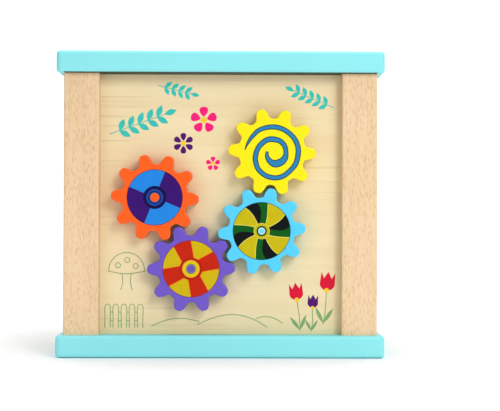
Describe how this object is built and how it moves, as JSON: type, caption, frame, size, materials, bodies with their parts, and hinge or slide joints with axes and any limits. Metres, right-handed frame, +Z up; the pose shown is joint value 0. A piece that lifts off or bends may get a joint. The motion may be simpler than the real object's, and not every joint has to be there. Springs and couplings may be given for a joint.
{
  "type": "wooden gear toy",
  "caption": "Square wooden activity box with corner posts and thin recessed panels; a train of meshing toothed wheels turns by hand on its front.",
  "frame": {"origin": "centre of the underside of the bottom board, on the surface that the box stands on", "axes": "+Z up, the face with the toothed wheels looks along -Y, +X to the right as seen from that face"},
  "size_m": [0.208, 0.208, 0.194],
  "materials": {
    "aqua_paint": "satin aqua paint on solid wood",
    "beech": "clear varnished beech",
    "plywood": "clear varnished pale plywood",
    "orange_paint": "gloss orange paint on wood",
    "purple_paint": "gloss purple paint on wood",
    "blue_paint": "gloss light blue paint on wood",
    "yellow_paint": "gloss yellow paint on wood",
    "dowel_wood": "plain sanded hardwood",
    "screw_steel": "zinc plated steel"
  },
  "bodies": {
    "case": {"top_board": "aqua_paint", "bottom_board": "aqua_paint", "post_front_left": "beech", "post_front_right": "beech", "post_back_left": "beech", "post_back_right": "beech", "gear_panel": "plywood", "left_panel": "plywood", "right_panel": "plywood", "back_panel": "plywood", "spacer_orange": "dowel_wood", "spacer_purple": "dowel_wood", "spacer_blue": "dowel_wood", "spacer_yellow": "dowel_wood", "base_screws": "screw_steel", "post_dowels": "dowel_wood"},
    "wheel_orange": {"gear_orange": "orange_paint", "axle_peg_orange": "dowel_wood"},
    "wheel_purple": {"gear_purple": "purple_paint", "axle_peg_purple": "dowel_wood"},
    "wheel_blue": {"gear_blue": "blue_paint", "axle_peg_blue": "dowel_wood"},
    "wheel_yellow": {"gear_yellow": "yellow_paint", "axle_peg_yellow": "dowel_wood"}
  },
  "joints": [
    {"name": "spin_yellow", "type": "hinge", "parent": "case", "child": "wheel_yellow", "pos_m": [0.03253, -0.0915, 0.13023], "axis": [0, -1, 0], "continuous": true},
    {"name": "spin_blue", "type": "hinge", "parent": "case", "child": "wheel_blue", "pos_m": [0.0261, -0.0915, 0.08004], "axis": [0, -1, 0], "continuous": true},
    {"name": "spin_purple", "type": "hinge", "parent": "case", "child": "wheel_purple", "pos_m": [-0.01845, -0.0915, 0.05606], "axis": [0, -1, 0], "continuous": true},
    {"name": "spin_orange", "type": "hinge", "parent": "case", "child": "wheel_orange", "pos_m": [-0.0415, -0.0915, 0.1011], "axis": [0, -1, 0], "continuous": true}
  ],
  "couplings": [
    {"joint": "spin_blue", "follows": "spin_yellow", "ratio": -1},
    {"joint": "spin_purple", "follows": "spin_yellow", "ratio": 1},
    {"joint": "spin_orange", "follows": "spin_yellow", "ratio": -1}
  ]
}
